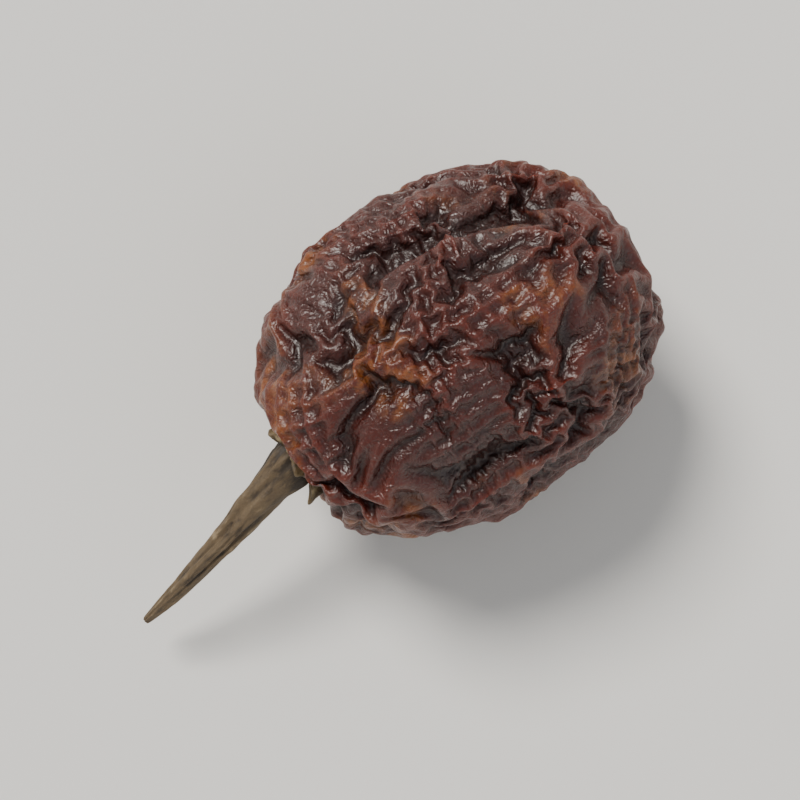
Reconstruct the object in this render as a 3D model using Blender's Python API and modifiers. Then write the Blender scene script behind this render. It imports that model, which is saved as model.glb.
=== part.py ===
"""A dried red habanero chilli pepper lying on its side: the pod, the calyx that caps it, and the stem.

The pod lies along X, with its stem end towards -X and its blossom end towards +X. The origin is the middle of
the flat that the pod rests on, and Z points up from that surface. Lengths are in metres.
"""

from math import atan2, cos, exp, hypot, pi, radians, sin, tau

import bmesh
import bpy
from mathutils import Vector, noise

MM = 0.001

# Pod: a barrel-shaped berry, a little flatter than it is wide, with a furrow between each pair of lobes.
# Its length is before both ends are drawn in.
POD_LENGTH = 27.7 * MM
POD_WIDTH = 23.2 * MM
POD_DEPTH = 21.4 * MM
POD_SQUARENESS = 2.5
POD_SUBDIVISIONS = 5
FLAT_CUT = 0.6 * MM
FURROWS = (radians(40), radians(-82), radians(150))
FURROW_WIDTH = radians(21)
FURROW_DEPTH = 0.125
BLOSSOM_DEPTH = 1.3 * MM
BLOSSOM_RADIUS = 2.6 * MM
BLOSSOM_NUB = 0.7 * MM
BLOSSOM_NUB_RADIUS = 0.9 * MM

# Where the drying flesh has pulled the wall in: direction from the middle, angular radius and depth.
HOLLOWS = (
    (Vector((0.55, 0.62, 0.56)), radians(24), 1.3 * MM),
    (Vector((-0.35, -0.72, 0.60)), radians(20), 0.6 * MM),
    (Vector((0.70, -0.30, -0.65)), radians(22), 0.8 * MM),
    (Vector((-0.60, 0.75, -0.20)), radians(22), 0.7 * MM),
    (Vector((-0.20, -0.80, -0.45)), radians(24), 0.8 * MM),
)

# Lumps are broad swellings, and crumples are the sharper folds of the dried skin.
LUMP_HEIGHT = 0.45 * MM
LUMP_SPACING = 7.0 * MM
CRUMPLE_HEIGHT = 0.45 * MM
CRUMPLE_SPACING = 4.2 * MM

# Calyx: a small saucer with five blunt teeth, let into the pod's stem end around a hub that carries the stem.
SEAT_DEPTH = 1.0 * MM
SEAT_RADIUS = 2.8 * MM
SEAT_CLEAR_RADIUS = 3.4 * MM
GAP = 0.3 * MM
CALYX_RADIUS = 2.7 * MM
CALYX_RIM_THICKNESS = 0.35 * MM
CALYX_TEETH = 5
CALYX_TOOTH_SHARE = 0.09
CALYX_TOOTH_HEADING = radians(-90)
CALYX_SEGMENTS = 40
CALYX_UNDERSIDE_STEPS = 6
HUB_RADIUS = 1.65 * MM
HUB_HEIGHT = 0.45 * MM

# Stem: it leaves the hub at a slant, droops towards the surface and thins to a dry tip.
STEM_RUN = 14.6 * MM
STEM_SLANT = radians(11.5)
STEM_DROP = 6.2 * MM
STEM_BEND = 0.35 * MM
STEM_TIP_WIDTH = 0.5 * MM
STEM_TAPER_WIDTH = 1.9 * MM
STEM_FLARE_WIDTH = 0.9 * MM
STEM_FLARE_SHARE = 0.1
STEM_POINTS = 22

# Plain finishes: linear colour and roughness.
POD_SKIN = ("pod_skin", (0.10, 0.018, 0.012), 0.38)
CALYX_HUSK = ("calyx_husk", (0.085, 0.062, 0.028), 0.75)
STEM_BARK = ("stem_bark", (0.095, 0.068, 0.038), 0.8)

HALF_LENGTH = POD_LENGTH / 2
HALF_WIDTH = POD_WIDTH / 2
HALF_DEPTH = POD_DEPTH / 2
MEAN_RADIUS = (HALF_WIDTH + HALF_DEPTH) / 2
MIDDLE = Vector((0, 0, HALF_DEPTH - FLAT_CUT))


def smooth_step(low, high, value):
    """0 below low, 1 above high, and a smooth rise between them."""
    share = min(1.0, max(0.0, (value - low) / (high - low)))
    return share * share * (3 - 2 * share)


def bell(distance, width):
    """A bell curve, 1 at no distance."""
    return exp(-((distance / width) ** 2))


def angle_between(a, b):
    """The smaller angle between two headings round the pod's axis."""
    return abs((a - b + pi) % tau - pi)


def seat_x(radius):
    """X of the pod's stem end at a radius from its axis: a dished seat that holds the calyx."""
    barrel = (1 - (radius / MEAN_RADIUS) ** POD_SQUARENESS) ** (1 / POD_SQUARENESS)
    return -HALF_LENGTH * barrel + SEAT_DEPTH * bell(radius, SEAT_RADIUS)


def furrow_share(heading, axial, radial):
    """How much of the pod's radius the furrows take away. They deepen towards both ends."""
    depth = FURROW_DEPTH * (0.4 + 0.6 * abs(axial)) * smooth_step(0.25, 0.7, radial)
    return depth * sum(bell(angle_between(heading, at), FURROW_WIDTH) for at in FURROWS)


def skin_relief(direction, point):
    """How far the dried skin stands out, in metres: hollows, lumps and crumples."""
    relief = -sum(
        depth * bell(direction.angle(towards), reach) for towards, reach, depth in HOLLOWS
    )
    relief += LUMP_HEIGHT * noise.noise(point / LUMP_SPACING)
    fold = 1 - 2 * abs(noise.noise(point / CRUMPLE_SPACING + Vector((3.1, 7.7, 1.9))))
    return relief + CRUMPLE_HEIGHT * (fold - 0.6)


def pod_point(direction):
    """The point of the pod's skin that lies along a unit direction from the pod's middle."""
    across = hypot(direction.y, direction.z)
    reach = (abs(direction.x) ** POD_SQUARENESS + across**POD_SQUARENESS) ** (-1 / POD_SQUARENESS)
    axial, radial = direction.x * reach, across * reach
    heading = atan2(direction.y, direction.z)
    radius = radial * MEAN_RADIUS
    x = HALF_LENGTH * axial
    if axial < 0:
        x += SEAT_DEPTH * bell(radius, SEAT_RADIUS)
    else:
        x -= BLOSSOM_DEPTH * bell(radius, BLOSSOM_RADIUS)
        x += BLOSSOM_NUB * bell(radius, BLOSSOM_NUB_RADIUS)
    swell = radial * (1 - furrow_share(heading, axial, radial))
    point = Vector((x, swell * HALF_WIDTH * sin(heading), swell * HALF_DEPTH * cos(heading)))
    off_seat = 1.0 if axial > 0 else smooth_step(SEAT_CLEAR_RADIUS, 2 * SEAT_CLEAR_RADIUS, radius)
    off_flat = smooth_step(-0.98, -0.75, direction.z)
    return MIDDLE + point + direction * skin_relief(direction, point) * off_seat * off_flat


def stem_point(share):
    """The stem's centre line, from the hub at 0 to the tip at 1."""
    run = STEM_RUN * share
    bend = STEM_BEND * sin(pi * share)
    start = seat_x(0) - GAP - hub_top() - GAP
    return Vector(
        (
            start - run * cos(STEM_SLANT),
            -run * sin(STEM_SLANT) * smooth_step(-0.6, 0.5, share) - bend,
            MIDDLE.z - STEM_DROP * share**1.5,
        )
    )


def stem_width(share):
    """The stem's width: a flare at the calyx and a long taper to the tip."""
    taper = STEM_TAPER_WIDTH * (1 - share) ** 0.75
    return STEM_TIP_WIDTH + taper + STEM_FLARE_WIDTH * exp(-share / STEM_FLARE_SHARE)


def hub_top():
    """Height of the hub's face above the underside of the calyx at its middle."""
    rim_height = seat_x(0) - seat_x(CALYX_RADIUS)
    return rim_height + CALYX_RIM_THICKNESS + HUB_HEIGHT


def material(name, color, roughness):
    """A plain dielectric finish."""
    made = bpy.data.materials.new(name)
    made.use_nodes = True
    shader = made.node_tree.nodes["Principled BSDF"]
    shader.inputs["Base Color"].default_value = (*color, 1)
    shader.inputs["Roughness"].default_value = roughness
    shader.inputs["Metallic"].default_value = 0
    return made


def add_object(name, data, collection, parent, finish):
    """Links a new object with its finish, parented to the pepper's empty."""
    made = bpy.data.objects.new(name, data)
    made.parent = parent
    made.data.materials.append(finish)
    collection.objects.link(made)
    return made


def build_pod(collection, parent):
    """The berry: a sphere drawn out to the pod's skin, then cut level where it rests."""
    bm = bmesh.new()
    bmesh.ops.create_icosphere(bm, subdivisions=POD_SUBDIVISIONS, radius=1)
    for vertex in bm.verts:
        vertex.co = pod_point(vertex.co.normalized())
    everything = bm.verts[:] + bm.edges[:] + bm.faces[:]
    cut = bmesh.ops.bisect_plane(
        bm, geom=everything, plane_co=(0, 0, 0), plane_no=(0, 0, -1), clear_outer=True
    )
    edges = [item for item in cut["geom_cut"] if isinstance(item, bmesh.types.BMEdge)]
    bmesh.ops.holes_fill(bm, edges=edges, sides=0)
    bmesh.ops.recalc_face_normals(bm, faces=bm.faces)
    mesh = bpy.data.meshes.new("pod")
    bm.to_mesh(mesh)
    bm.free()
    mesh.shade_smooth()
    return add_object("pod", mesh, collection, parent, material(*POD_SKIN))


def calyx_profile():
    """The calyx's outline as radius and height, from the hub's face round to the underside's middle."""
    top = hub_top()
    rim = seat_x(0) - seat_x(CALYX_RADIUS)
    shoulder = rim + CALYX_RIM_THICKNESS
    outer = [
        (0, top),
        (0.9 * HUB_RADIUS, top),
        (HUB_RADIUS, top - 0.1 * MM),
        (1.12 * HUB_RADIUS, shoulder - 0.02 * MM),
        (0.85 * CALYX_RADIUS, shoulder - 0.08 * MM),
        (0.97 * CALYX_RADIUS, shoulder),
    ]
    steps = CALYX_UNDERSIDE_STEPS
    radii = [CALYX_RADIUS * (steps - step) / steps for step in range(steps + 1)]
    return outer + [(radius, seat_x(0) - seat_x(radius)) for radius in radii]


def build_calyx(collection, parent):
    """The cap: a turned saucer whose rim is drawn out into blunt teeth."""
    profile = bpy.data.meshes.new("calyx_profile")
    points = [(radius, 0, height) for radius, height in calyx_profile()]
    profile.from_pydata(points, [(i, i + 1) for i in range(len(points) - 1)], [])
    turned = bpy.data.objects.new("calyx_profile", profile)
    collection.objects.link(turned)
    screw = turned.modifiers.new("turn", "SCREW")
    screw.steps = screw.render_steps = CALYX_SEGMENTS
    screw.use_merge_vertices = True
    screw.merge_threshold = 0.005 * MM
    bpy.context.view_layer.update()
    graph = bpy.context.evaluated_depsgraph_get()
    mesh = bpy.data.meshes.new_from_object(turned.evaluated_get(graph))
    bpy.data.objects.remove(turned)
    mesh.name = "calyx"

    bm = bmesh.new()
    bm.from_mesh(mesh)
    for vertex in bm.verts:
        radius = hypot(vertex.co.x, vertex.co.y)
        heading = atan2(vertex.co.y, vertex.co.x)
        tooth = CALYX_TOOTH_SHARE * smooth_step(HUB_RADIUS, CALYX_RADIUS, radius)
        spread = 1 + tooth * (cos(CALYX_TEETH * (heading - CALYX_TOOTH_HEADING)) - 0.4)
        vertex.co.x *= spread
        vertex.co.y *= spread
    bm.to_mesh(mesh)
    bm.free()
    mesh.shade_smooth()

    calyx = add_object("calyx", mesh, collection, parent, material(*CALYX_HUSK))
    calyx.location = (seat_x(0) - GAP, 0, MIDDLE.z)
    calyx.rotation_euler = (0, radians(-90), 0)
    return calyx


def build_stem(collection, parent):
    """The stalk: a tapering round tube along its centre line."""
    curve = bpy.data.curves.new("stem", "CURVE")
    curve.dimensions = "3D"
    curve.bevel_depth = 1
    curve.bevel_resolution = 3
    curve.use_fill_caps = True
    spline = curve.splines.new("POLY")
    spline.points.add(STEM_POINTS - 1)
    for index, point in enumerate(spline.points):
        share = index / (STEM_POINTS - 1)
        point.co = (*stem_point(share), 1)
        point.radius = stem_width(share) / 2
    spline.use_smooth = True
    return add_object("stem", curve, collection, parent, material(*STEM_BARK))


def main():
    """Clears the scene and builds the three pieces."""
    for leftover in list(bpy.data.objects):
        bpy.data.objects.remove(leftover)
    collection = bpy.data.collections.new("chilli_pepper")
    bpy.context.scene.collection.children.link(collection)
    frame = bpy.data.objects.new("chilli_pepper_frame", None)
    collection.objects.link(frame)
    build_pod(collection, frame)
    build_calyx(collection, frame)
    build_stem(collection, frame)


main()
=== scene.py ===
"""Fine shape and finish of a dried red habanero pepper that lies on its side.

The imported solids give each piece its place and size. The pod starts from its solid, and its skin is
then dried: it keeps its area while what it is bonded to shrinks, so that it buckles into folds, wide
ones first and then ever finer ones between them. The calyx is bedded on the dried skin, and the stem
grows out of the calyx.
"""

import logging
import math
from dataclasses import dataclass, field
from enum import Enum

import bmesh
import bpy
import numpy as np
from mathutils import Matrix, Vector, noise
from mathutils.bvhtree import BVHTree


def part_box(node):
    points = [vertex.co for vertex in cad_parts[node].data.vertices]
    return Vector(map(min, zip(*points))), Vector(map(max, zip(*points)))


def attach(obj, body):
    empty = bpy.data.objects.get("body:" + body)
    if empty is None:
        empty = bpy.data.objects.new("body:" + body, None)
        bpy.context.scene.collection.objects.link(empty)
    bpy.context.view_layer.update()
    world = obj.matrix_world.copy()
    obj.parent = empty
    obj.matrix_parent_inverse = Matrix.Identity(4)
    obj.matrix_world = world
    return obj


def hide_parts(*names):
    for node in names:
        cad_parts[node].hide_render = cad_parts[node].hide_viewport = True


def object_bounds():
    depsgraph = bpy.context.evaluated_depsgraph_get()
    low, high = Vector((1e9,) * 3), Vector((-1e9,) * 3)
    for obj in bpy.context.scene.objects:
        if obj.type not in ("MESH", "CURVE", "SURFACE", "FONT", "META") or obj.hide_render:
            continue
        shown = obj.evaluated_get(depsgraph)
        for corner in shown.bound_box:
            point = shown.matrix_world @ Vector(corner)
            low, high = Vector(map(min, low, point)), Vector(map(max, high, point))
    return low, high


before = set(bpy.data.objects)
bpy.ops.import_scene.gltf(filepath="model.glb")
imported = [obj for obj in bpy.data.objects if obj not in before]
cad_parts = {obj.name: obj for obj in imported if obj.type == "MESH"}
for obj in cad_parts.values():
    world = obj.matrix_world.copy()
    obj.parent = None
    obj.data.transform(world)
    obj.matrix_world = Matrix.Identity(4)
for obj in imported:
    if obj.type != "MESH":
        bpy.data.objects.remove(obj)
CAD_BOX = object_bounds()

MM = 0.001
BODY = "root"
Color = tuple[int, int, int]
log = logging.getLogger("habanero")


class Slot(Enum):
    """The record's material slots."""

    POD = "pod_skin"
    CALYX = "calyx_husk"
    STEM = "stem_bark"


def paint(red: int, green: int, blue: int) -> tuple[float, float, float, float]:
    """Turns a display colour, 0 to 255, into the linear colour that shaders take.

    Args:
        red: Red as displayed.
        green: Green as displayed.
        blue: Blue as displayed.

    Returns:
        The linear colour, opaque.
    """
    shares = (value / 255 for value in (red, green, blue))
    linear = (s / 12.92 if s <= 0.04045 else ((s + 0.055) / 1.055) ** 2.4 for s in shares)
    return (*linear, 1.0)


def ease(low: float, high: float, value: float | np.ndarray) -> float | np.ndarray:
    """Rises smoothly from 0 at low to 1 at high.

    Args:
        low: Where the rise starts.
        high: Where it ends.
        value: A number, or an array of them.

    Returns:
        The share of the rise, in the shape of value.
    """
    share = np.clip((value - low) / (high - low), 0.0, 1.0)
    return share * share * (3 - 2 * share)


def noise_at(points: np.ndarray, spacing: float, shift: float) -> np.ndarray:
    """Samples smooth noise at points.

    Args:
        points: One row of x, y, z for each point, in metres.
        spacing: Rough distance from one swell to the next, in metres.
        shift: Moves the pattern, so that two uses of one spacing differ.

    Returns:
        One value a point, mostly between -1 and 1.
    """
    moved = points / spacing + shift
    return np.array([noise.noise(Vector(row)) for row in moved.tolist()])


def wander(place: Vector) -> Vector:
    """Samples smooth noise three times over, as a direction.

    The noise module's own noise_vector is seeded by the clock, and this is the same on every run.

    Args:
        place: Where it is sampled.

    Returns:
        Three values, mostly between -1 and 1.
    """
    shifts = (Vector((3.1, 9.4, 5.7)), Vector((11.3, 2.6, 7.9)), Vector((6.5, 4.2, 13.8)))
    return Vector([noise.noise(place + shift) for shift in shifts])


class Shading:
    """A material's node tree, with short calls for the nodes that the finishes share."""

    def __init__(self, name: str) -> None:
        """Starts a material with its Principled shader.

        Args:
            name: The material's name.
        """
        self.material = bpy.data.materials.new(name)
        self.material.use_nodes = True
        self.tree = self.material.node_tree
        self.shader = self.tree.nodes["Principled BSDF"]
        self.place = self.tree.nodes.new("ShaderNodeTexCoord").outputs["Object"]

    def feed(self, socket: bpy.types.NodeSocket, value: object) -> None:
        """Links a socket to another node's output, or sets it to a plain value."""
        if isinstance(value, bpy.types.NodeSocket):
            self.tree.links.new(value, socket)
        else:
            socket.default_value = value

    def constants(self, **values: object) -> None:
        """Sets the shader's own sockets, named with underscores for spaces."""
        for name, value in values.items():
            self.shader.inputs[name.replace("_", " ")].default_value = value

    def drive(self, name: str, value: bpy.types.NodeSocket) -> None:
        """Links one of the shader's sockets."""
        self.tree.links.new(value, self.shader.inputs[name])

    def stretched(self, scale: tuple[float, float, float], turn: float) -> bpy.types.NodeSocket:
        """Object coordinates scaled by axis, after a turn about Z in radians."""
        node = self.tree.nodes.new("ShaderNodeMapping")
        node.vector_type = "TEXTURE"
        node.inputs["Rotation"].default_value = (0, 0, turn)
        node.inputs["Scale"].default_value = tuple(1 / share for share in scale)
        self.feed(node.inputs["Vector"], self.place)
        return node.outputs["Vector"]

    def clouds(
        self,
        spacing: float,
        detail: float,
        rough: float = 0.5,
        warp: float = 0.0,
        at: bpy.types.NodeSocket | None = None,
    ) -> bpy.types.NodeSocket:
        """Adds a noise texture.

        Args:
            spacing: Distance from one swell to the next, in metres.
            detail: How many finer layers it carries.
            rough: How strong the finer layers are.
            warp: How much the pattern is pulled about.
            at: The coordinates, or None for the object's own.

        Returns:
            The noise's height, 0 to 1.
        """
        node = self.tree.nodes.new("ShaderNodeTexNoise")
        node.inputs["Scale"].default_value = 1 / spacing
        node.inputs["Detail"].default_value = detail
        node.inputs["Roughness"].default_value = rough
        node.inputs["Distortion"].default_value = warp
        self.feed(node.inputs["Vector"], at or self.place)
        return node.outputs["Fac"]

    def cells(self, spacing: float, smooth: float) -> bpy.types.NodeSocket:
        """Distance to the nearest of many scattered points, as in a cobbled skin."""
        node = self.tree.nodes.new("ShaderNodeTexVoronoi")
        node.feature = "SMOOTH_F1"
        node.inputs["Scale"].default_value = 1 / spacing
        node.inputs["Smoothness"].default_value = smooth
        self.feed(node.inputs["Vector"], self.place)
        return node.outputs["Distance"]

    def attribute(self, name: str) -> bpy.types.NodeSocket:
        """The piece's own attribute of that name."""
        node = self.tree.nodes.new("ShaderNodeAttribute")
        node.attribute_name = name
        return node.outputs["Fac"]

    def calc(
        self, operation: str, first: object, second: object = 0.0, third: object = 0.0
    ) -> bpy.types.NodeSocket:
        """Works out a Math node's operation on up to three values."""
        node = self.tree.nodes.new("ShaderNodeMath")
        node.operation = operation
        for socket, value in zip(node.inputs, (first, second, third)):
            self.feed(socket, value)
        return node.outputs[0]

    def swing(self, height: bpy.types.NodeSocket, reach: float) -> bpy.types.NodeSocket:
        """Turns a height of 0 to 1 into a swing about 0, that far from end to end."""
        return self.calc("MULTIPLY", self.calc("SUBTRACT", height, 0.5), reach)

    def between(self, value: bpy.types.NodeSocket, low: float, high: float) -> bpy.types.NodeSocket:
        """Rises smoothly from 0 where value is low to 1 where it is high."""
        node = self.tree.nodes.new("ShaderNodeMapRange")
        node.interpolation_type = "SMOOTHSTEP"
        node.inputs["From Min"].default_value = low
        node.inputs["From Max"].default_value = high
        self.feed(node.inputs["Value"], value)
        return node.outputs["Result"]

    def blend(self, share: object, first: object, second: object) -> bpy.types.NodeSocket:
        """Mixes two colours by a share."""
        node = self.tree.nodes.new("ShaderNodeMix")
        node.data_type = "RGBA"
        for index, value in ((0, share), (6, first), (7, second)):
            self.feed(node.inputs[index], value)
        return node.outputs[2]

    def bumps(self, height: bpy.types.NodeSocket, depth: float) -> None:
        """Raises the surface's fine relief by height times depth, in metres."""
        node = self.tree.nodes.new("ShaderNodeBump")
        node.inputs["Distance"].default_value = depth
        node.inputs["Strength"].default_value = 1.0
        self.feed(node.inputs["Height"], height)
        self.drive("Normal", node.outputs["Normal"])


@dataclass(frozen=True)
class PodFinish:
    """Dried chilli skin: dark, glossy and a little translucent, with amber where it is thin.

    Attributes:
        valley_shade: Colour in the valleys, made darker there as painted shade.
        body: Colour of the slopes.
        lit_crest: Colour of the crests, made lighter there as painted light.
        amber: Colour where the skin is thin.
        lower_slope: Heights between which deep turns to body.
        upper_slope: Heights between which body turns to crest.
        mottle_size: Size of the patches that shift the colour up or down a slope.
        mottle: How far they shift it.
        fleck_size: Size of the flecks that break up the amber.
        fleck_edge: Where a fleck starts and is full.
        grain_size: Size of the spots that differ in gloss.
        smoothest: Roughness of the glossiest spots.
        gloss_swing: How much rougher the dullest spots are.
        crease_size: Spacing of the finest creases.
        crease: Their depth, as a share of the relief.
        pore_size: Spacing of the pores.
        pore: Their depth, as a share of the relief.
        relief: Depth of creases and pores, in metres.
    """

    # Valley to crest colours: painted shade in the valleys and painted light on the crests.
    valley_shade: Color = (38, 11, 7)
    body: Color = (58, 17, 10)
    lit_crest: Color = (82, 28, 16)
    amber: Color = (122, 68, 26)
    lower_slope: tuple[float, float] = (0.12, 0.5)
    upper_slope: tuple[float, float] = (0.5, 0.95)
    mottle_size: float = 3.2 * MM
    mottle: float = 0.9
    fleck_size: float = 1.4 * MM
    fleck_edge: tuple[float, float] = (0.38, 0.68)
    grain_size: float = 0.7 * MM
    smoothest: float = 0.2
    gloss_swing: float = 0.4
    crease_size: float = 0.75 * MM
    crease: float = 1.6
    pore_size: float = 0.28 * MM
    pore: float = 0.18
    relief: float = 0.22 * MM

    def build(self) -> bpy.types.Material:
        """Makes the material."""
        s = Shading("dried_pod_skin")
        s.drive("Base Color", self.color(s))
        grain = s.clouds(self.grain_size, detail=4, rough=0.6)
        s.drive("Roughness", s.calc("MULTIPLY_ADD", grain, self.gloss_swing, self.smoothest))
        wrinkles = s.clouds(self.crease_size, detail=2, rough=0.6, warp=0.5)
        creases = s.calc("ABSOLUTE", s.calc("SUBTRACT", wrinkles, 0.5))
        pores = s.cells(self.pore_size, smooth=0.35)
        cuts = s.calc("MULTIPLY", creases, -self.crease)
        s.bumps(s.calc("MULTIPLY_ADD", pores, self.pore, cuts), self.relief)
        s.constants(
            Subsurface_Weight=0.2,
            Subsurface_Radius=(1.0, 0.28, 0.12),
            Subsurface_Scale=0.9 * MM,
            Coat_Weight=0.13,
            Coat_Roughness=0.2,
            IOR=1.5,
        )
        return s.material

    def color(self, s: Shading) -> bpy.types.NodeSocket:
        """Colours the skin by the height of its folds, as painted shade and light, then by how thin it
        is.

        Args:
            s: The node tree that it is worked out in.

        Returns:
            The colour.
        """
        mottle = s.clouds(self.mottle_size, detail=4, rough=0.6, warp=0.6)
        height = s.calc("ADD", s.attribute("folds"), s.swing(mottle, self.mottle))
        # Painted shade and light: darker in the valleys and lighter on the crests, by fold height.
        color = s.blend(s.between(height, *self.lower_slope), paint(*self.valley_shade), paint(*self.body))
        color = s.blend(s.between(height, *self.upper_slope), color, paint(*self.lit_crest))
        flecks = s.clouds(self.fleck_size, detail=4, rough=0.65, warp=0.8)
        glow = s.calc("MULTIPLY", s.attribute("thin"), s.between(flecks, *self.fleck_edge))
        return s.blend(glow, color, paint(*self.amber))


@dataclass(frozen=True)
class HuskFinish:
    """Dry plant fibre, olive-brown and matt, streaked along its length.

    Attributes:
        name: The material's name.
        dark: Colour of the grooves, made darker there as painted shade.
        mid: Colour of most of it.
        pale: Colour of the ribs, made lighter as painted light, and of the calyx's own pale rim.
        streak_size: Width of a streak.
        streak_stretch: Its scale by axis, smallest along its length.
        streak_turn: Turns the streaks about Z, along the stem.
        streak: How strongly they colour the fibre.
        blotch_size: Size of the blotches.
        blotch: How strongly they colour it.
        fuzz_size: Size of the finest roughness.
        relief: Depth of streaks and fuzz, in metres.
    """

    name: str
    dark: Color
    mid: Color
    pale: Color
    streak_size: float = 0.5 * MM
    streak_stretch: tuple[float, float, float] = (0.16, 1, 1)
    streak_turn: float = math.radians(11)
    streak: float = 1.3
    blotch_size: float = 2.4 * MM
    blotch: float = 0.7
    fuzz_size: float = 0.18 * MM
    relief: float = 0.06 * MM

    def build(self) -> bpy.types.Material:
        """Makes the material."""
        s = Shading(self.name)
        along = s.stretched(self.streak_stretch, self.streak_turn)
        streaks = s.clouds(self.streak_size, detail=4, rough=0.6, warp=0.2, at=along)
        blotches = s.clouds(self.blotch_size, detail=3, rough=0.6)
        # Painted shade: the tone follows the piece's relief, darker in its grooves and paler on its
        # ribs.
        tone = s.calc("ADD", s.attribute("relief"), s.swing(streaks, self.streak))
        tone = s.calc("ADD", tone, s.swing(blotches, self.blotch))
        color = s.blend(s.between(tone, 0.1, 0.6), paint(*self.dark), paint(*self.mid))
        color = s.blend(s.between(tone, 0.6, 1.1), color, paint(*self.pale))
        s.drive("Base Color", color)
        s.drive("Roughness", s.calc("MULTIPLY_ADD", streaks, 0.3, 0.5))
        s.bumps(s.calc("ADD", streaks, s.clouds(self.fuzz_size, detail=2)), self.relief)
        s.constants(
            Subsurface_Weight=0.05, Subsurface_Radius=(1.0, 0.6, 0.3), Subsurface_Scale=0.4 * MM
        )
        return s.material


@dataclass(frozen=True)
class PaperFinish:
    """The pale, matt sheet that the pepper lies on."""

    color: Color = (226, 225, 222)

    def build(self) -> bpy.types.Material:
        """Makes the material."""
        s = Shading("studio_sheet")
        s.constants(Base_Color=paint(*self.color), Roughness=0.85, Specular_IOR_Level=0.2)
        return s.material


@dataclass(frozen=True)
class Drying:
    """One round of buckling.

    A fold is about eight of the skin's squares wide, so each finer grid folds finer.

    Attributes:
        around: How many times its bed's length the skin is, round the pod.
        along: The same, along the pod.
        steps: How long the skin is given to settle.
        bending: How stiffly the skin resists a fold.
        inward: How firmly its bed resists a dent.
        outward: How firmly it holds the skin from lifting.
        uneven: How much the growth differs from place to place.
        patch: Size of those places, in metres.
    """

    around: float
    along: float
    steps: int
    bending: float = 0.55
    inward: float = 0.010
    outward: float = 0.035
    uneven: float = 0.6
    patch: float = 6.0 * MM


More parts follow.
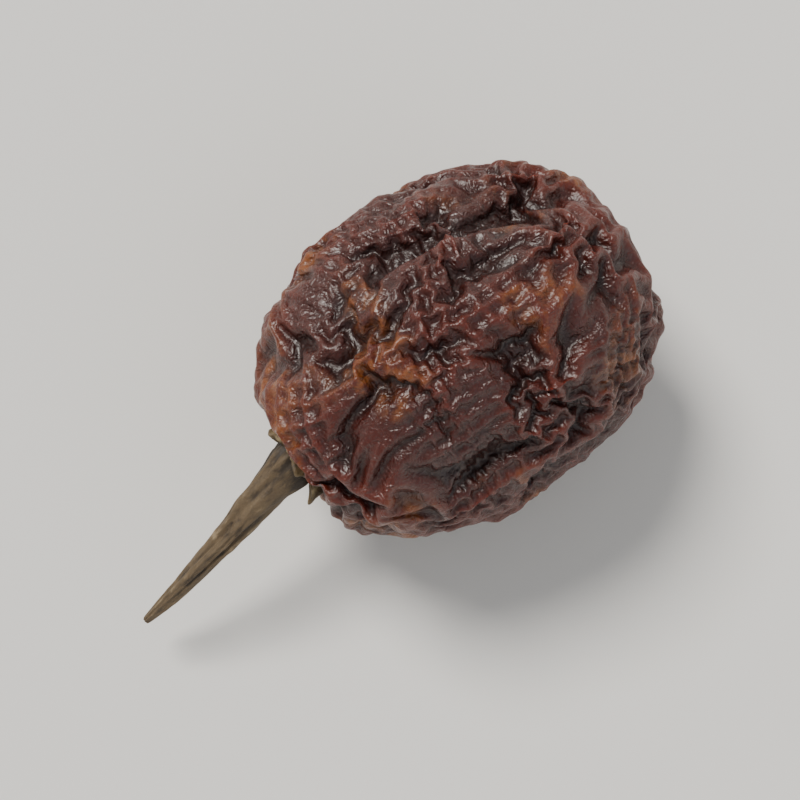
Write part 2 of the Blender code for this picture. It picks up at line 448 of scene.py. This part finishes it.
class Skin:
    """A closed sheet of squares that can buckle over its bed.

    Attributes:
        FORCE_SHARE: How much of the force goes into the speed at each step.
        SPEED_KEPT: How much of the speed is left after a step.
        CORNER_PULL: Strength of the springs across the squares, against those along their sides.
        SIDE_SHARE: Weight of each neighbour along a side when neighbours are averaged.
        CORNER_SHARE: Weight of each neighbour across a square.
        HOLD: How firmly the bed keeps the skin from sliding.
        RATTLE: The roughness that folds grow from, as a share of a square.
        GROWTH_LIMITS: The least and the most that uneven growth may be, against even growth.
        PATCH_SHIFT: How far each round's patches of growth are moved from the last round's.
        TINY: Added to lengths, in metres, so that none is divided by nothing.
    """

    FORCE_SHARE = 0.11
    SPEED_KEPT = 0.88
    CORNER_PULL = 0.5
    SIDE_SHARE = 0.2
    CORNER_SHARE = 0.05
    HOLD = 0.02
    RATTLE = 0.04
    GROWTH_LIMITS = (0.1, 2.0)
    PATCH_SHIFT = 11.3
    TINY = 1e-9

    def __init__(self, mesh: bpy.types.Mesh) -> None:
        """Reads the sheet's points and which of them pull on each other.

        Args:
            mesh: A closed mesh of quads in which no more than four meet at a point.
        """
        self.mesh = mesh
        count = len(mesh.vertices)
        self.points = np.empty(3 * count)
        mesh.vertices.foreach_get("co", self.points)
        self.points = self.points.reshape(-1, 3)
        corners = np.empty(4 * len(mesh.polygons), dtype=np.int64)
        mesh.loops.foreach_get("vertex_index", corners)
        corners = corners.reshape(-1, 4)
        self.normals = self.upright(corners)
        edges = np.empty(2 * len(mesh.edges), dtype=np.int64)
        mesh.edges.foreach_get("vertices", edges)
        self.sides = self.partners(count, edges.reshape(-1, 2))
        self.crossways = self.partners(count, np.concatenate([corners[:, [0, 2]], corners[:, [1, 3]]]))

    def upright(self, corners: np.ndarray) -> np.ndarray:
        """Works out which way is out of the skin at each point, always in the same order.

        Args:
            corners: The four points of a square a row.

        Returns:
            One unit normal a point.
        """
        first, second, third, fourth = (self.points[corners[:, place]] for place in range(4))
        facing = np.cross(third - first, fourth - second)
        normals = np.zeros_like(self.points)
        for place in range(4):
            np.add.at(normals, corners[:, place], facing)
        return normals / np.linalg.norm(normals, axis=1)[:, None]

    @staticmethod
    def partners(count: int, pairs: np.ndarray) -> np.ndarray:
        """Lists each point's partners.

        Args:
            count: How many points there are.
            pairs: Two joined points a row.

        Returns:
            Four partners a row, with the point itself in any empty place.
        """
        both = np.concatenate([pairs, pairs[:, ::-1]])
        both = both[np.argsort(both[:, 0], kind="stable")]
        first = np.searchsorted(both[:, 0], np.arange(count))
        table = np.repeat(np.arange(count)[:, None], 4, axis=1)
        table[both[:, 0], np.arange(len(both)) - first[both[:, 0]]] = both[:, 1]
        return table

    def grown(self, partners: np.ndarray, drying: Drying, share: np.ndarray) -> np.ndarray:
        """Length that the skin would have towards each partner if nothing held it.

        Args:
            partners: Four partners a row.
            drying: How much longer the skin is than its bed.
            share: How much of that each point gets.

        Returns:
            Four lengths a row, in metres.
        """
        spans = self.points[partners] - self.points[:, None]
        lengths = np.sqrt(np.einsum("nij,nij->ni", spans, spans))
        lengthwise = (spans[..., 0] / np.maximum(lengths, self.TINY)) ** 2
        extra = (drying.around - 1) * (1 - lengthwise) + (drying.along - 1) * lengthwise
        return lengths * (1 + extra * share[:, None])

    def lean(self, values: np.ndarray) -> np.ndarray:
        """How far each point is from the mean of its neighbours, weighed alike in every direction."""
        beside = values[self.sides].sum(axis=1)
        across = values[self.crossways].sum(axis=1)
        return self.SIDE_SHARE * beside + self.CORNER_SHARE * across - values

    def push(self, points: np.ndarray, partners: np.ndarray, lengths: np.ndarray) -> np.ndarray:
        """Force of the springs between each point and its partners."""
        spans = points[partners] - points[:, None]
        now = np.sqrt(np.einsum("nij,nij->ni", spans, spans)) + self.TINY
        return np.einsum("ni,nij->nj", 1 - lengths / now, spans)

    def dry(self, drying: Drying, calm: np.ndarray, seed: int) -> np.ndarray:
        """Lets the skin buckle, and moves the mesh to where it settles.

        Args:
            drying: The round's numbers.
            calm: How freely each point takes part, from 0 to 1.
            seed: Starts the small unevenness from which folds grow.

        Returns:
            How far each point now stands out from where it was, in metres.
        """
        uneven = 1 + drying.uneven * noise_at(
            self.points, drying.patch, self.PATCH_SHIFT * seed
        )
        share = calm * np.clip(uneven, *self.GROWTH_LIMITS)
        side_lengths = self.grown(self.sides, drying, share)
        cross_lengths = self.grown(self.crossways, drying, share)
        bed = self.points.copy()
        edge = float(side_lengths.mean())
        rattle = np.random.default_rng(seed).standard_normal(len(bed)) * self.RATTLE * edge
        points = bed + self.normals * (rattle * calm)[:, None]
        speed = np.zeros_like(points)
        for _ in range(drying.steps):
            shift = points - bed
            force = self.push(points, self.sides, side_lengths)
            force += self.CORNER_PULL * self.push(points, self.crossways, cross_lengths)
            force -= drying.bending * self.lean(self.lean(shift))
            proud = np.einsum("nj,nj->n", shift, self.normals)
            grip = np.where(proud > 0, drying.outward, drying.inward) * proud
            force -= grip[:, None] * self.normals
            force -= self.HOLD * (shift - proud[:, None] * self.normals)
            speed = self.SPEED_KEPT * speed + self.FORCE_SHARE * force
            points += speed
            points[:, 2] = np.maximum(points[:, 2], 0.0)
        proud = np.einsum("nj,nj->n", points - bed, self.normals)
        self.points = points
        self.mesh.vertices.foreach_set("co", points.ravel())
        self.mesh.update()
        return proud


def new_mesh(bm: bmesh.types.BMesh, name: str) -> bpy.types.Mesh:
    """Turns a bmesh into a mesh, and frees it."""
    mesh = bpy.data.meshes.new(name)
    bm.to_mesh(mesh)
    bm.free()
    return mesh


def refined(mesh: bpy.types.Mesh, levels: int) -> bpy.types.Mesh:
    """Splits each face into four and rounds them off.

    Args:
        mesh: The coarse mesh, which is used up.
        levels: How many times it is done.

    Returns:
        The finer mesh, with the coarse one's attributes spread over it.
    """
    name = mesh.name
    helper = bpy.data.objects.new("refining", mesh)
    bpy.context.scene.collection.objects.link(helper)
    finer = helper.modifiers.new("rounds", "SUBSURF")
    finer.levels = finer.render_levels = levels
    bpy.context.view_layer.update()
    evaluated = helper.evaluated_get(bpy.context.evaluated_depsgraph_get())
    made = bpy.data.meshes.new_from_object(evaluated)
    bpy.data.objects.remove(helper)
    bpy.data.meshes.remove(mesh)
    made.name = name
    return made


def split_squares(mesh: bpy.types.Mesh) -> bpy.types.Mesh:
    """Splits each square into four and eases the new grid.

    The folds that grow next double the smallest difference over and over, so this is done in a fixed
    order, to grow the same folds on every run.

    Args:
        mesh: The coarse mesh, which is used up.

    Returns:
        The finer mesh, with the coarse one's attributes spread over it.
    """
    bm = bmesh.new()
    bm.from_mesh(mesh)
    bmesh.ops.subdivide_edges(bm, edges=bm.edges, cuts=1, use_grid_fill=True)
    for _ in range(2):
        bmesh.ops.smooth_vert(
            bm, verts=bm.verts, factor=0.4, use_axis_x=True, use_axis_y=True, use_axis_z=True
        )
    name = mesh.name
    bpy.data.meshes.remove(mesh)
    return new_mesh(bm, name)


def store(mesh: bpy.types.Mesh, name: str, values: np.ndarray) -> None:
    """Keeps one number a point on a mesh, for its material to read."""
    layer = mesh.attributes.get(name) or mesh.attributes.new(name, "FLOAT", "POINT")
    layer.data.foreach_set("value", values.astype(np.float32))


def stored(mesh: bpy.types.Mesh, name: str) -> np.ndarray:
    """Reads back the numbers that store kept."""
    values = np.empty(len(mesh.vertices), dtype=np.float32)
    mesh.attributes[name].data.foreach_get("value", values)
    return values.astype(float)


def settle_piece(
    mesh: bpy.types.Mesh, name: str, finish: bpy.types.Material
) -> bpy.types.Object:
    """Links a finished mesh as a piece of the pepper, in place of the solid of the same name.

    Args:
        mesh: The piece's mesh, in place.
        name: The name of the solid that it stands for.
        finish: Its material.

    Returns:
        The piece.
    """
    mesh.materials.clear()
    mesh.materials.append(finish)
    mesh.shade_smooth()
    piece = bpy.data.objects.new(f"{name}_dried", mesh)
    bpy.context.scene.collection.objects.link(piece)
    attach(piece, BODY)
    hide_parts(name)
    log.info("%s: %d faces", piece.name, len(mesh.polygons))
    return piece


@dataclass
class Pod:
    """The berry, with its dried and buckled skin.

    Attributes:
        axis_height: Height of the pod's own axis above the surface it lies on.
        squares: Squares along each edge of the cube that the skin starts from.
        rounds: The rounds of drying, each on a grid twice as fine as the last.
        seat_radius: Reach of the seat under the calyx, where the skin is held.
        seat_fade: Where the skin is free again, in seat radii.
        held: How freely the held skin folds, against free skin.
        meander: How far the rows of squares wander, so that no fold follows a straight row.
        fold_share: How much one round's folds add to "folds".
        bed_round: The round whose skin the calyx is bedded on.
        bed: That round's skin, once it is there.
    """

    axis_height: float = 10.1 * MM
    squares: int = 16
    seat_radius: float = 2.4 * MM
    seat_fade: float = 2.2
    held: float = 0.15
    meander: float = 0.16
    fold_share: float = 0.1
    bed_round: int = 2
    rounds: tuple[Drying, ...] = (
        Drying(around=1.035, along=1.015, steps=140),
        Drying(around=1.055, along=1.03, steps=160),
        Drying(around=1.10, along=1.085, steps=160, uneven=1.0, patch=7 * MM),
        Drying(around=1.13, along=1.13, steps=140, uneven=1.0, patch=5 * MM),
    )
    bed: BVHTree | None = field(default=None, init=False)

    def blank(self) -> bpy.types.Mesh:
        """Lays an even grid of squares over the solid pod.

        Returns:
            The skin before it dries.
        """
        solid = bmesh.new()
        solid.from_mesh(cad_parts["pod"].data)
        bmesh.ops.remove_doubles(solid, verts=solid.verts, dist=0.002 * MM)
        solid.normal_update()
        surface = BVHTree.FromBMesh(solid)
        solid.free()
        middle = Vector((0, 0, self.axis_height))
        bm = bmesh.new()
        bmesh.ops.create_cube(bm, size=2)
        bmesh.ops.subdivide_edges(bm, edges=bm.edges, cuts=self.squares - 1, use_grid_fill=True)
        for vertex in bm.verts:
            spread = Vector([math.tan(value * math.pi / 4) for value in vertex.co]).normalized()
            aim = spread + self.meander * wander(spread * 1.7)
            vertex.co = surface.ray_cast(middle, aim.normalized())[0]
        for _ in range(2):
            bmesh.ops.smooth_vert(
                bm, verts=bm.verts, factor=0.3, use_axis_x=True, use_axis_y=True, use_axis_z=True
            )
        return new_mesh(bm, "pod_dried")

    def calm(self, points: np.ndarray) -> np.ndarray:
        """How freely the skin folds at each point: it is held under the calyx."""
        radius = np.hypot(points[:, 1], points[:, 2] - self.axis_height)
        at_stem = points[:, 0] < 0
        freed = ease(self.seat_radius, self.seat_fade * self.seat_radius, radius)
        return np.where(at_stem, self.held + (1 - self.held) * freed, 1.0)

    def dried(self) -> bpy.types.Mesh:
        """Dries the skin round by round, each on a finer grid.

        Returns:
            The skin with "folds", which is high on crests and low in valleys.
        """
        mesh = self.blank()
        store(mesh, "folds", np.full(len(mesh.vertices), 0.5))
        rounds = self.rounds
        for number, drying in enumerate(rounds, start=1):
            skin = Skin(mesh)
            proud = skin.dry(drying, self.calm(skin.points), seed=number)
            spread = float(proud.std())
            rise = np.clip((proud - proud.mean()) / spread, -2, 2)
            store(mesh, "folds", stored(mesh, "folds") + self.fold_share * rise)
            log.info("drying round %d: folds of %.2f mm", number, 2 * spread / MM)
            if number == self.bed_round:
                bm = bmesh.new()
                bm.from_mesh(mesh)
                self.bed = BVHTree.FromBMesh(bm)
                bm.free()
            if number < len(rounds):
                mesh = split_squares(mesh)
        return mesh

    def shade(self, mesh: bpy.types.Mesh) -> None:
        """Works out where the skin is thin: in patches, mostly on swells and at the stem end."""
        points = np.empty(3 * len(mesh.vertices))
        mesh.vertices.foreach_get("co", points)
        points = points.reshape(-1, 3)
        patches = noise_at(points, 6.5 * MM, shift=4.2) + 0.5 * noise_at(points, 2.6 * MM, shift=8.1)
        swells = stored(mesh, "folds") - 0.5
        stem_end = ease(-6 * MM, -13 * MM, points[:, 0])
        store(mesh, "thin", ease(0.12, 0.75, patches + 0.5 * swells + 0.25 * stem_end))

    def build(self) -> bpy.types.Object:
        """Builds and dresses the pod."""
        mesh = self.dried()
        self.shade(mesh)
        return settle_piece(mesh, "pod", PodFinish().build())


@dataclass
class Calyx:
    """The cap between pod and stem: a thin shrivelled plate with five blunt teeth, round a raised hub.

    Attributes:
        pod: The pod it lies on, already dried.
        radius: From its axis to between two teeth.
        thickness: Of the plate.
        teeth: How many teeth.
        tooth: How far they reach, as a share of the radius.
        knob_heading: Where the stoutest tooth points, from +Z towards +Y.
        knob: How far that tooth stands up.
        knob_width: Its width round the calyx, in radians.
        curl: How far the teeth curl up.
        rib: Height of the ribs, four to each tooth.
        pucker: Height of the finest unevenness.
        pucker_size: Its spacing.
        cast_from: X of a place well clear of the pod, beyond its stem end.
        segments: Steps round the blank before it is refined.
        hub_radius: Of the raised middle.
        hub_height: Of the hub's face above the plate.
    """

    pod: Pod
    radius: float = 2.85 * MM
    thickness: float = 0.42 * MM
    teeth: int = 5
    tooth: float = 0.11
    knob_heading: float = math.radians(-90)
    knob: float = 0.5 * MM
    knob_width: float = 0.3
    curl: float = 0.3 * MM
    rib: float = 0.16 * MM
    pucker: float = 0.10 * MM
    pucker_size: float = 0.6 * MM
    cast_from: float = -30 * MM
    segments: int = 60
    hub_radius: float = 1.55 * MM
    hub_height: float = 0.75 * MM

    def profile(self) -> list[tuple[float, float]]:
        """Radius and height above the skin, from the hub over the rim to the underside's middle."""
        r, t, hub, top = self.radius, self.thickness, self.hub_radius, self.hub_height
        sunk = -0.35 * t
        return [
            (0, top),
            (0.55 * hub, top),
            (0.88 * hub, 0.96 * top),
            (1.0 * hub, 0.78 * top),
            (1.02 * hub, 0.62 * top),
            (1.14 * hub, 0.66 * top),
            (1.28 * hub, 0.56 * top),
            (0.5 * hub + 0.5 * r, 1.05 * t),
            (0.90 * r, 1.0 * t),
            (0.97 * r, 1.12 * t),
            (1.0 * r, 0.8 * t),
            (0.99 * r, 0.3 * t),
            (0.9 * r, sunk),
            (0.5 * r, sunk),
            (0, sunk),
        ]

    def build(self) -> bpy.types.Object:
        """Builds and dresses the calyx."""
        bm = bmesh.new()
        points = [bm.verts.new((radius, 0, height)) for radius, height in self.profile()]
        edges = [bm.edges.new(pair) for pair in zip(points, points[1:])]
        bmesh.ops.spin(
            bm, geom=points + edges, axis=(0, 0, 1), angle=math.tau, steps=self.segments, use_merge=True
        )
        bmesh.ops.remove_doubles(bm, verts=bm.verts, dist=0.005 * MM)
        bmesh.ops.recalc_face_normals(bm, faces=bm.faces)
        mesh = refined(new_mesh(bm, "calyx_dried"), 2)
        relief = [self.place(vertex) for vertex in mesh.vertices]
        mesh.update()
        store(mesh, "relief", np.array(relief))
        finish = HuskFinish("calyx_husk", (38, 30, 19), (84, 68, 42), (140, 124, 92))
        return settle_piece(mesh, "calyx", finish.build())

    def place(self, vertex: bpy.types.MeshVertex) -> float:
        """Shrivels one point of the turned blank and beds it on the pod.

        Args:
            vertex: The point, which is moved.

        Returns:
            How pale it is: the rim is paler in its own colour, and the ribs are paler as painted light.
        """
        x, y, height = vertex.co
        radius = math.hypot(x, y)
        heading = math.atan2(y, x)
        reach = float(ease(0.5 * self.radius, self.radius, radius))
        lobes = math.cos(self.teeth * (heading - self.knob_heading))
        off_knob = math.remainder(heading - self.knob_heading, math.tau)
        ragged = noise.noise(Vector((math.cos(heading), math.sin(heading), 0)) * 2.7)
        spread = 1 + reach * (self.tooth * (lobes - 0.35) + 0.10 * ragged)
        ribs = 0.5 + 0.5 * math.cos(4 * self.teeth * heading + 4 * ragged)
        plate = float(ease(self.hub_radius, 1.3 * self.hub_radius, radius))
        if height > 0.1 * self.thickness:
            puckers = noise.noise(Vector((x, y, 5 * MM)) / self.pucker_size)
            height += plate * (self.rib * ribs + self.pucker * puckers)
            height += reach * self.curl * max(0.0, lobes + ragged)
            height += reach**2 * self.knob * math.exp(-((off_knob / self.knob_width) ** 2))
        y_out, z_out = radius * spread * math.sin(heading), radius * spread * math.cos(heading)
        start = Vector((self.cast_from, y_out, self.pod.axis_height + z_out))
        hit = self.pod.bed.ray_cast(start, Vector((1, 0, 0)))[0]
        vertex.co = hit - Vector((height, 0, 0))
        # The rim's paler tone is its own colour; the ribs' rise and fall is painted light and shade.
        return 0.15 + 0.5 * reach + 0.35 * plate * (ribs - 0.5)


@dataclass
class Stem:
    """The dry stalk: it flares where it leaves the calyx, droops, thins and ends in a snapped tip.

    Attributes:
        pod: The pod, for the height of its axis.
        slant: How far it heads off the pod's axis, towards -Y.
        drop: How far its tip has drooped.
        bend: How far its middle bows out sideways.
        rings: Steps along it.
        sides: Steps round it.
        root: How far it starts inside the calyx.
        tip_width: Width of the snapped tip.
        taper_width: How much wider it is at the calyx, flare aside.
        flare_width: How much wider the flare makes it there.
        flare_share: How much of its length the flare fades over.
        twist: How far the grooves turn round it from end to end, in radians.
        grooves: Depth of its shrivelling from broad to fine, as shares of its radius.
        ring_at: Where along it an old leaf scar rings it.
        ring_share: How much of its length the scar takes up.
        ring_rise: How far the scar stands out, as a share of its radius.
    """

    pod: Pod
    slant: float = math.radians(11.5)
    drop: float = 6.2 * MM
    bend: float = 0.35 * MM
    rings: int = 150
    sides: int = 56
    root: float = 0.9 * MM
    tip_width: float = 0.5 * MM
    taper_width: float = 1.9 * MM
    flare_width: float = 0.9 * MM
    flare_share: float = 0.1
    twist: float = 0.7
    grooves: tuple[float, float, float] = (0.20, 0.26, 0.10)
    ring_at: float = 0.45
    ring_share: float = 0.022
    ring_rise: float = 0.05

    def __post_init__(self) -> None:
        """Reads both ends of the stem's run from its imported solid."""
        low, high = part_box("stem")
        self.start = high[0]
        self.length = (high[0] - low[0]) / math.cos(self.slant)

    def route(self, share: float) -> Vector:
        """The stem's centre line, from the calyx at 0 to the tip at 1."""
        run = self.length * share
        sideways = run * math.sin(self.slant) * float(ease(-0.6, 0.5, share))
        return Vector(
            (
                self.start - run * math.cos(self.slant),
                -sideways - self.bend * math.sin(math.pi * share),
                self.pod.axis_height - self.drop * max(share, 0.0) ** 1.5,
            )
        )

    def width(self, share: float) -> float:
        """The stem's width: a flare at the calyx and a long taper to the tip."""
        taper = self.taper_width * (1 - share) ** 0.75
        return self.tip_width + taper + self.flare_width * math.exp(-max(share, 0.0) / self.flare_share)

    def build(self) -> bpy.types.Object:
        """Builds and dresses the stem."""
        bm = bmesh.new()
        tones = bm.verts.layers.float.new("relief")
        bmesh.ops.create_circle(bm, segments=self.sides, radius=1)
        row, ring = set(bm.verts), list(bm.edges)
        inside = self.root / self.length
        for number in range(self.rings + 1):
            share = (1 + inside) * number / self.rings - inside
            shaped = {vertex: self.bark(share, math.atan2(vertex.co.y, vertex.co.x)) for vertex in row}
            if number < self.rings:
                grown = bmesh.ops.extrude_edge_only(bm, edges=ring)["geom"]
                next_row = {item for item in grown if isinstance(item, bmesh.types.BMVert)}
                edges = [item for item in grown if isinstance(item, bmesh.types.BMEdge)]
                ring = [edge for edge in edges if next_row.issuperset(edge.verts)]
            for vertex, (point, tone) in shaped.items():
                vertex.co = point
                vertex[tones] = tone
            row = next_row
        bmesh.ops.holes_fill(bm, edges=[edge for edge in bm.edges if edge.is_boundary], sides=0)
        bmesh.ops.recalc_face_normals(bm, faces=bm.faces)
        mesh = new_mesh(bm, "stem_dried")
        finish = HuskFinish("stem_bark", (44, 34, 22), (92, 76, 54), (146, 128, 100))
        return settle_piece(mesh, "stem", finish.build())

    def bark(self, share: float, heading: float) -> tuple[Vector, float]:
        """Places one point of the shrivelled surface.

        Args:
            share: Where it is along the stem.
            heading: Where it is round the stem.

        Returns:
            The point, and how pale it is, with painted shade in its grooves.
        """
        centre = self.route(share)
        ahead = (self.route(share + 0.01) - self.route(share - 0.01)).normalized()
        side = ahead.cross(Vector((0, 0, 1))).normalized()
        up = side.cross(ahead)
        turned = heading + self.twist * share
        around = Vector((math.cos(turned), math.sin(turned), 0))
        broad = noise.noise(around * 1.3 + Vector((0, 0, 3.0 * share)))
        middling = noise.noise(around * 3.4 + Vector((5, 1, 2.2 * share)))
        fine = noise.noise(around * 7.5 + Vector((2, 7, 9.0 * share)))
        scar = math.exp(-(((share - self.ring_at) / self.ring_share) ** 2))
        depths = zip(self.grooves, (broad, middling, fine))
        relief = sum(depth * height for depth, height in depths) + self.ring_rise * scar
        spread = 0.5 * self.width(min(share, 1.0)) * (1 + relief)
        point = centre + (side * math.cos(heading) * 1.04 + up * math.sin(heading) * 0.96) * spread
        at_calyx = math.exp(-share / 0.12)
        # Painted shade: tone follows the relief, darker in grooves and paler on ridges; the scar is
        # paler, the stem darker near the calyx.
        tone = 0.42 + 0.9 * relief + 0.2 * scar * (1 + broad) - 0.3 * at_calyx + 0.1 * share
        return point, tone


@dataclass
class Studio:
    """Plain pale sheet, soft light, and the camera.

    Attributes:
        floor_radius: Reach of the level part of the sheet.
        sweep: Radius of the curve that the sheet's edge is swept up in.
        sweep_steps: Steps up that curve.
        sheet_segments: Steps round the sheet.
        image_slant: How far the pod's stem end dips below level in the image.
        tilt: How far the camera leans from straight down.
        lens: Its focal length, in millimetres.
        distance: From the camera to the middle of the pepper.
        aim_shift: How far it aims to the right of the middle, and above it.
        sky: Strength of the light from all round.
    """

    floor_radius: float = 1.2
    sweep: float = 1.2
    sweep_steps: int = 12
    sheet_segments: int = 64
    image_slant: float = math.radians(34)
    tilt: float = math.radians(6)
    lens: float = 85.0
    distance: float = 0.132
    aim_shift: tuple[float, float] = (2.6 * MM, 0.6 * MM)
    sky: float = 0.42

    def sheet(self) -> None:
        """Lays a round sheet, level under the pepper and swept up at its edge."""
        bm = bmesh.new()
        outline = [(0.0, 0.0)]
        for step in range(self.sweep_steps + 1):
            angle = math.pi / 2 * step / self.sweep_steps
            out, rise = self.sweep * math.sin(angle), self.sweep * (1 - math.cos(angle))
            outline.append((self.floor_radius + out, rise))
        points = [bm.verts.new((radius, 0, height)) for radius, height in outline]
        edges = [bm.edges.new(pair) for pair in zip(points, points[1:])]
        bmesh.ops.spin(
            bm,
            geom=points + edges,
            axis=(0, 0, 1),
            angle=math.tau,
            steps=self.sheet_segments,
            use_merge=True,
        )
        bmesh.ops.remove_doubles(bm, verts=bm.verts, dist=0.01 * MM)
        bmesh.ops.recalc_face_normals(bm, faces=bm.faces)
        bmesh.ops.reverse_faces(bm, faces=bm.faces)
        mesh = new_mesh(bm, "studio_sheet")
        mesh.shade_smooth()
        mesh.materials.append(PaperFinish().build())
        sheet = bpy.data.objects.new("studio_sheet", mesh)
        bpy.context.scene.collection.objects.link(sheet)

    def lamp(self, name: str, towards: Vector, strength: float, spread: float, tint: Color) -> None:
        """Adds a broad, distant light, which falls evenly on the pepper and the whole sheet.

        Args:
            name: The light's name.
            towards: The direction it comes from.
            strength: In watts on a square metre.
            spread: How wide it looks from the pepper, in degrees. A wide one casts soft shadows.
            tint: Its colour as displayed.
        """
        data = bpy.data.lights.new(name, "SUN")
        data.angle = math.radians(spread)
        data.energy = strength
        data.color = paint(*tint)[:3]
        light = bpy.data.objects.new(name, data)
        light.rotation_euler = towards.to_track_quat("Z", "Y").to_euler()
        bpy.context.scene.collection.objects.link(light)

    def lights(self) -> None:
        """Hangs the lights and sets the sky."""
        right, up = self.image_axes()
        high = Vector((0, 0, 1))
        over_left = -0.45 * right + 0.55 * up + 0.9 * high
        low_right = 0.8 * right - 0.7 * up + 0.6 * high
        self.lamp("key", over_left, strength=3.9, spread=22, tint=(255, 250, 243))
        self.lamp("fill", low_right, strength=0.6, spread=60, tint=(240, 245, 255))
        world = bpy.data.worlds.new("studio")
        world.use_nodes = True
        backdrop = world.node_tree.nodes["Background"]
        backdrop.inputs["Color"].default_value = paint(238, 240, 243)
        backdrop.inputs["Strength"].default_value = self.sky
        bpy.context.scene.world = world

    def image_axes(self) -> tuple[Vector, Vector]:
        """The directions along the floor that run to the image's right and top."""
        turn = Matrix.Rotation(-self.image_slant, 3, "Z")
        return turn @ Vector((1, 0, 0)), turn @ Vector((0, 1, 0))

    def camera(self) -> None:
        """Looks down on the pepper, turned so that it lies at the slant it is seen at."""
        right, up = self.image_axes()
        back = (Vector((0, 0, 1)) * math.cos(self.tilt) - up * math.sin(self.tilt)).normalized()
        low, high = CAD_BOX
        centre = (Vector(low) + Vector(high)) / 2 + right * self.aim_shift[0] + up * self.aim_shift[1]
        data = bpy.data.cameras.new("camera")
        data.lens = self.lens
        data.clip_start = 0.01
        data.clip_end = 10
        camera = bpy.data.objects.new("camera", data)
        facing = Matrix((right, back.cross(right), back)).transposed()
        camera.matrix_world = Matrix.Translation(centre + back * self.distance) @ facing.to_4x4()
        bpy.context.scene.collection.objects.link(camera)
        bpy.context.scene.camera = camera

    def build(self) -> None:
        """Sets up the whole studio."""
        self.sheet()
        self.lights()
        self.camera()


def main() -> None:
    """Builds the pepper and its studio."""
    logging.basicConfig(level=logging.INFO, format="%(message)s")
    pod = Pod()
    pod.build()
    Calyx(pod).build()
    Stem(pod).build()
    Studio().build()


if __name__ == "__main__":
    main()
